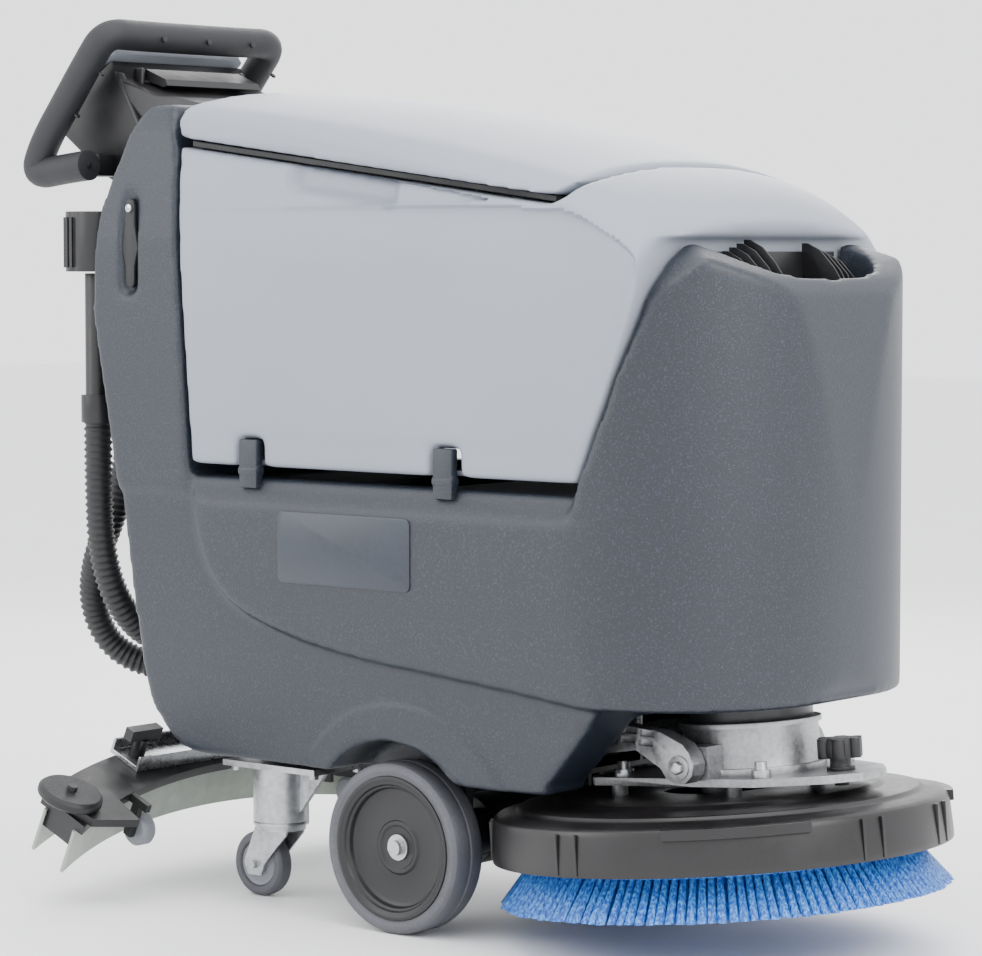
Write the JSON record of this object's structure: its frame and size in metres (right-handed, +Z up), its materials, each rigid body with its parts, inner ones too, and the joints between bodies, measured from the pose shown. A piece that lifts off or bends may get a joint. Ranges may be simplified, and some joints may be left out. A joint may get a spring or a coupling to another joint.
{
  "type": "walk-behind floor scrubber dryer",
  "caption": "Walk-behind floor scrubber dryer with tipping recovery tank, hinged lid, lifting brush deck, curved squeegee, rear casters and loop handle.",
  "frame": {"origin": "on the floor under the middle of the machine's overall box, machine parked", "axes": "+X the way it drives, +Y its left side, +Z up"},
  "size_m": [1.2376, 0.742, 1.072],
  "materials": {
    "slate_polyethylene": "fine textured",
    "grey_polyethylene": "fine textured",
    "black_plastic": "satin",
    "powder_coated_steel": "matte powder coat",
    "handle_coating": "matte powder coat",
    "zinc_plated_steel": "dull zinc",
    "cast_aluminium": "as cast",
    "motor_can": "satin",
    "tyre_rubber": "matte",
    "black_rubber": "matte",
    "clear_polyurethane": "translucent",
    "blue_nylon": "bristle",
    "grey_hose": "corrugated",
    "battery_case": "satin",
    "panel_grey": "satin",
    "display": "gloss",
    "button_green": "satin",
    "chrome_key": "polished"
  },
  "bodies": {
    "chassis": {"solution_tank": "slate_polyethylene", "filler_grille": "black_plastic", "chassis_frame": "powder_coated_steel", "transaxle": "motor_can", "caster_mount_right": "zinc_plated_steel", "caster_mount_left": "zinc_plated_steel", "deck_actuator": "powder_coated_steel", "tip_hinge_lugs": "black_plastic", "batteries": "battery_case", "control_box": "powder_coated_steel", "handlebar": "handle_coating", "console_body": "black_plastic", "console_panel": "panel_grey", "display_screen": "display", "hose_fittings": "black_plastic", "drain_hose": "grey_hose", "suction_hose": "grey_hose", "strap_latches": "black_rubber"},
    "lift_arm": {"deck_arm": "cast_aluminium"},
    "actuator_ram": {"actuator_rod": "zinc_plated_steel"},
    "deck": {"deck_cover": "black_plastic", "deck_plate": "zinc_plated_steel", "gearbox_housing": "cast_aluminium", "brush_motor": "motor_can", "deck_fasteners": "zinc_plated_steel"},
    "brush": {"brush_block": "blue_nylon", "brush_bristles": "blue_nylon"},
    "deck_knob": {"star_knob": "black_plastic"},
    "squeegee_carrier": {"squeegee_arm": "powder_coated_steel"},
    "squeegee": {"squeegee_body": "cast_aluminium", "squeegee_blades": "clear_polyurethane", "clamp_bar": "zinc_plated_steel"},
    "dirty_tank": {"recovery_tank": "grey_polyethylene", "vacuum_motor": "motor_can", "float_cage": "black_plastic"},
    "lid": {"tank_lid": "grey_polyethylene", "lid_gasket": "black_rubber"},
    "paddle": {"drive_paddle": "black_plastic"},
    "dial": {"speed_dial": "black_plastic"},
    "key": {"key_switch": "chrome_key"},
    "plug": {"drain_plug": "black_plastic"},
    "push_button_1": {"button_1": "button_green"},
    "push_button_2": {"button_2": "button_green"},
    "push_button_3": {"button_3": "button_green"},
    "drive_wheel_right": {"drive_hub_right": "black_plastic", "tyre_right": "tyre_rubber", "axle_right": "zinc_plated_steel"},
    "caster_swivel_right": {"caster_fork_right": "zinc_plated_steel"},
    "caster_roll_right": {"caster_wheel_right": "tyre_rubber"},
    "wing_right": {"wing_knob_right": "black_plastic"},
    "bumper_right": {"bumper_disc_right": "black_rubber"},
    "roller_right": {"support_roller_right": "tyre_rubber"},
    "drive_wheel_left": {"drive_hub_left": "black_plastic", "tyre_left": "tyre_rubber", "axle_left": "zinc_plated_steel"},
    "caster_swivel_left": {"caster_fork_left": "zinc_plated_steel"},
    "caster_roll_left": {"caster_wheel_left": "tyre_rubber"},
    "wing_left": {"wing_knob_left": "black_plastic"},
    "bumper_left": {"bumper_disc_left": "black_rubber"},
    "roller_left": {"support_roller_left": "tyre_rubber"}
  },
  "joints": [
    {"name": "drive_wheel_right_spin", "type": "hinge", "parent": "chassis", "child": "drive_wheel_right", "pos_m": [0.0438, -0.193, 0.1], "axis": [0, 1, 0], "continuous": true},
    {"name": "caster_right_swivel", "type": "hinge", "parent": "chassis", "child": "caster_swivel_right", "pos_m": [-0.2122, -0.128, 0.096], "axis": [0, 0, 1], "continuous": true},
    {"name": "caster_right_roll", "type": "hinge", "parent": "caster_swivel_right", "child": "caster_roll_right", "pos_m": [-0.2422, -0.128, 0.04], "axis": [0, 1, 0], "continuous": true},
    {"name": "wing_knob_right_turn", "type": "hinge", "parent": "squeegee", "child": "wing_right", "pos_m": [-0.43807, -0.15, 0.16053], "axis": [0.4067, 0, 0.9135], "continuous": true},
    {"name": "bumper_right_spin", "type": "hinge", "parent": "squeegee", "child": "bumper_right", "pos_m": [-0.36844, -0.331, 0.135], "axis": [0.4067, 0, 0.9135], "continuous": true},
    {"name": "roller_right_spin", "type": "hinge", "parent": "squeegee", "child": "roller_right", "pos_m": [-0.38899, -0.195, 0.07409], "axis": [0, 1, 0], "continuous": true},
    {"name": "drive_wheel_left_spin", "type": "hinge", "parent": "chassis", "child": "drive_wheel_left", "pos_m": [0.0438, 0.193, 0.1], "axis": [0, 1, 0], "continuous": true},
    {"name": "caster_left_swivel", "type": "hinge", "parent": "chassis", "child": "caster_swivel_left", "pos_m": [-0.2122, 0.128, 0.096], "axis": [0, 0, 1], "continuous": true},
    {"name": "caster_left_roll", "type": "hinge", "parent": "caster_swivel_left", "child": "caster_roll_left", "pos_m": [-0.2422, 0.128, 0.04], "axis": [0, 1, 0], "continuous": true},
    {"name": "wing_knob_left_turn", "type": "hinge", "parent": "squeegee", "child": "wing_left", "pos_m": [-0.43807, 0.15, 0.16053], "axis": [0.4067, 0, 0.9135], "continuous": true},
    {"name": "bumper_left_spin", "type": "hinge", "parent": "squeegee", "child": "bumper_left", "pos_m": [-0.36844, 0.331, 0.135], "axis": [0.4067, 0, 0.9135], "continuous": true},
    {"name": "roller_left_spin", "type": "hinge", "parent": "squeegee", "child": "roller_left", "pos_m": [-0.38899, 0.195, 0.07409], "axis": [0, 1, 0], "continuous": true},
    {"name": "deck_lift", "type": "hinge", "parent": "chassis", "child": "lift_arm", "pos_m": [0.1468, 0, 0.205], "axis": [0, 1, 0], "range_deg": [0, 14.34]},
    {"name": "deck_tilt", "type": "hinge", "parent": "lift_arm", "child": "deck", "pos_m": [0.3908, 0, 0.217], "axis": [0, 1, 0], "range_deg": [-9.6, 0]},
    {"name": "brush_spin", "type": "hinge", "parent": "deck", "child": "brush", "pos_m": [0.35338, 0, 0.14785], "axis": [-0.0854, 0, 0.9963], "continuous": true},
    {"name": "deck_knob_turn", "type": "hinge", "parent": "deck", "child": "deck_knob", "pos_m": [0.51764, 0, 0.22216], "axis": [-0.0854, 0, 0.9963], "continuous": true},
    {"name": "actuator_slide", "type": "slide", "parent": "chassis", "child": "actuator_ram", "axis": [0, 0, -1], "range_m": [0, 0.0225]},
    {"name": "squeegee_lift", "type": "hinge", "parent": "chassis", "child": "squeegee_carrier", "pos_m": [-0.24232, 0, 0.15], "axis": [0, 1, 0], "range_deg": [-24, 0]},
    {"name": "squeegee_swing", "type": "hinge", "parent": "squeegee_carrier", "child": "squeegee", "pos_m": [-0.43157, 0, 0.17515], "axis": [0.4067, 0, 0.9135], "range_deg": [-12, 12]},
    {"name": "tank_tip", "type": "hinge", "parent": "chassis", "child": "dirty_tank", "pos_m": [0.0368, -0.237, 0.529], "axis": [1, 0, 0], "range_deg": [0, 60]},
    {"name": "lid_open", "type": "hinge", "parent": "dirty_tank", "child": "lid", "pos_m": [-0.2162, 0.232, 0.926], "axis": [-0.992, 0, 0.1261], "range_deg": [0, 75]},
    {"name": "paddle_squeeze", "type": "hinge", "parent": "chassis", "child": "paddle", "pos_m": [-0.4872, 0, 1.009], "axis": [0, 1, 0], "range_deg": [-20, 0], "stiffness_Nm_per_rad": 0.6},
    {"name": "button_1_press", "type": "slide", "parent": "chassis", "child": "push_button_1", "axis": [0.5299, 0, -0.848], "range_m": [0, 0.002], "stiffness_N_per_m": 300},
    {"name": "button_2_press", "type": "slide", "parent": "chassis", "child": "push_button_2", "axis": [0.5299, 0, -0.848], "range_m": [0, 0.002], "stiffness_N_per_m": 300},
    {"name": "button_3_press", "type": "slide", "parent": "chassis", "child": "push_button_3", "axis": [0.5299, 0, -0.848], "range_m": [0, 0.002], "stiffness_N_per_m": 300},
    {"name": "speed_dial_turn", "type": "hinge", "parent": "chassis", "child": "dial", "pos_m": [-0.58718, 0.07, 0.99195], "axis": [-0.5299, 0, 0.848], "range_deg": [-270, 0]},
    {"name": "key_turn", "type": "hinge", "parent": "chassis", "child": "key", "pos_m": [-0.538, 0.084, 1.02268], "axis": [-0.5299, 0, 0.848], "range_deg": [-90, 0]},
    {"name": "drain_plug_pull", "type": "slide", "parent": "chassis", "child": "plug", "axis": [0, 0, 1], "range_m": [0, 0.03]}
  ],
  "couplings": [
    {"joint": "deck_tilt", "follows": "deck_lift", "ratio": -0.658},
    {"joint": "actuator_slide", "follows": "deck_lift", "m_per_rad": 0.088}
  ]
}
